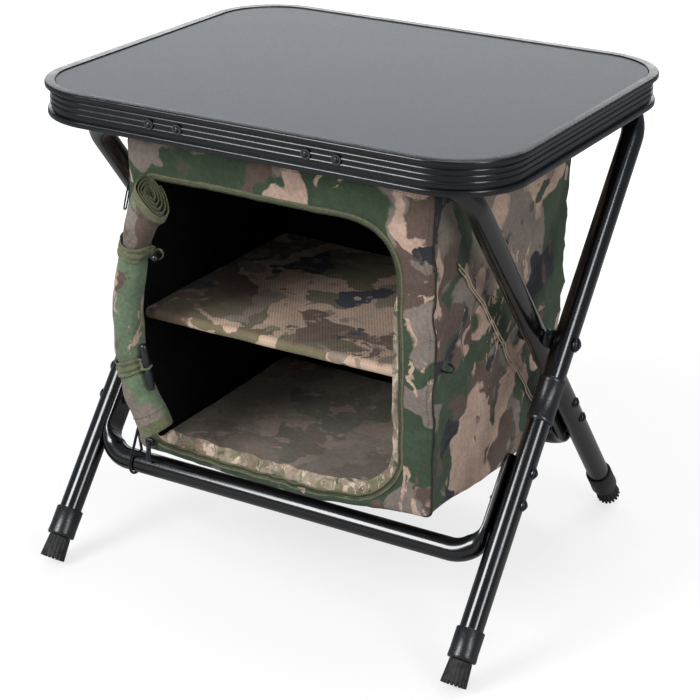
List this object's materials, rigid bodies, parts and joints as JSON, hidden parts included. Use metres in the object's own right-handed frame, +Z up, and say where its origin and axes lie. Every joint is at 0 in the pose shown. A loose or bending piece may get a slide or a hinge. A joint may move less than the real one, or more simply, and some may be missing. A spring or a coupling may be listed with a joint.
{
  "type": "bivvy table",
  "caption": "Folding bedside table for camping: flat tray top on crossed tube legs, with an open-fronted camouflage storage bag and shelf slung beneath.",
  "frame": {"origin": "on the floor, midway between the four feet and between the two sides", "axes": "+Z up out of the tabletop, -Y towards the front where the bag opens, +X to the right seen from the front"},
  "size_m": [0.48, 0.4374, 0.486],
  "materials": {
    "laminate": "satin grey laminate",
    "edging": "gloss black, ribbed",
    "black_tube": "gloss black powder coat",
    "black_steel": "black rivets and bolts",
    "black_plastic": "satin black moulding",
    "rubber": "matte black",
    "camouflage_cloth": null,
    "mesh_cloth": null,
    "black_webbing": "black webbing and elastic",
    "olive_webbing": "olive binding tape",
    "dark_trim": "zip tape and piping"
  },
  "bodies": {
    "outer_frame": {"outer_frame_tube": "black_tube", "front_stretcher": "black_tube", "front_stretcher_bolt_left_upper": "black_steel", "front_stretcher_bolt_left_lower": "black_steel", "front_stretcher_bolt_right_upper": "black_steel", "front_stretcher_bolt_right_lower": "black_steel", "leg_collar_left": "black_plastic", "leg_collar_right": "black_plastic", "pivot_bolt_left": "black_steel", "pivot_bolt_right": "black_steel", "pivot_spacer_left": "black_plastic", "pivot_spacer_right": "black_plastic", "leg_ferrule_outer_left": "black_plastic", "leg_ferrule_outer_right": "black_plastic", "rubber_foot_outer_left": "rubber", "rubber_foot_outer_right": "rubber", "rail_strap_rear_left": "black_webbing", "rail_strap_rear_right": "black_webbing", "bag_body": "camouflage_cloth", "bag_front_panel": "camouflage_cloth", "shelf": "mesh_cloth", "base_board": "camouflage_cloth", "front_piping": "dark_trim", "zip_track": "dark_trim", "zip_slider": "black_steel", "door_roll": "camouflage_cloth", "tie_strap_upper": "olive_webbing", "tie_strap_lower": "olive_webbing", "toggle_upper": "black_plastic", "toggle_lower": "black_plastic", "side_pocket": "camouflage_cloth", "side_loop": "black_webbing", "corner_elastic": "black_webbing"},
    "inner_frame": {"inner_frame_tube": "black_tube", "rear_stretcher": "black_tube", "rear_stretcher_bolt_left_upper": "black_steel", "rear_stretcher_bolt_left_lower": "black_steel", "rear_stretcher_bolt_right_upper": "black_steel", "rear_stretcher_bolt_right_lower": "black_steel", "leg_ferrule_inner_left": "black_plastic", "leg_ferrule_inner_right": "black_plastic", "rubber_foot_inner_left": "rubber", "rubber_foot_inner_right": "rubber", "rail_strap_front_left": "black_webbing", "rail_strap_front_right": "black_webbing"},
    "tabletop": {"tabletop_board": "laminate", "edge_trim": "edging", "front_clip_left": "black_plastic", "front_clip_right": "black_plastic", "rear_hinge_left": "black_plastic", "rear_hinge_right": "black_plastic", "edge_rivet_front_left_a": "black_steel", "edge_rivet_front_left_b": "black_steel", "edge_rivet_front_right_a": "black_steel", "edge_rivet_front_right_b": "black_steel", "edge_rivet_rear_left_a": "black_steel", "edge_rivet_rear_left_b": "black_steel", "edge_rivet_rear_right_a": "black_steel", "edge_rivet_rear_right_b": "black_steel"},
    "zip_pull": {"zip_pull": "black_webbing"}
  },
  "joints": [
    {"name": "frame_fold", "type": "hinge", "parent": "outer_frame", "child": "inner_frame", "pos_m": [0, -0.00506, 0.26383], "axis": [-1, 0, 0], "range_deg": [0, 70]},
    {"name": "tabletop_lift", "type": "hinge", "parent": "outer_frame", "child": "tabletop", "pos_m": [0, 0.1508, 0.4595], "axis": [-1, 0, 0], "range_deg": [0, 72]},
    {"name": "zip_pull_swing", "type": "hinge", "parent": "outer_frame", "child": "zip_pull", "pos_m": [-0.146, -0.14871, 0.12768], "axis": [-1, 0, 0], "range_deg": [0, 110]}
  ],
  "couplings": [
    {"joint": "tabletop_lift", "follows": "frame_fold", "ratio": 1}
  ]
}
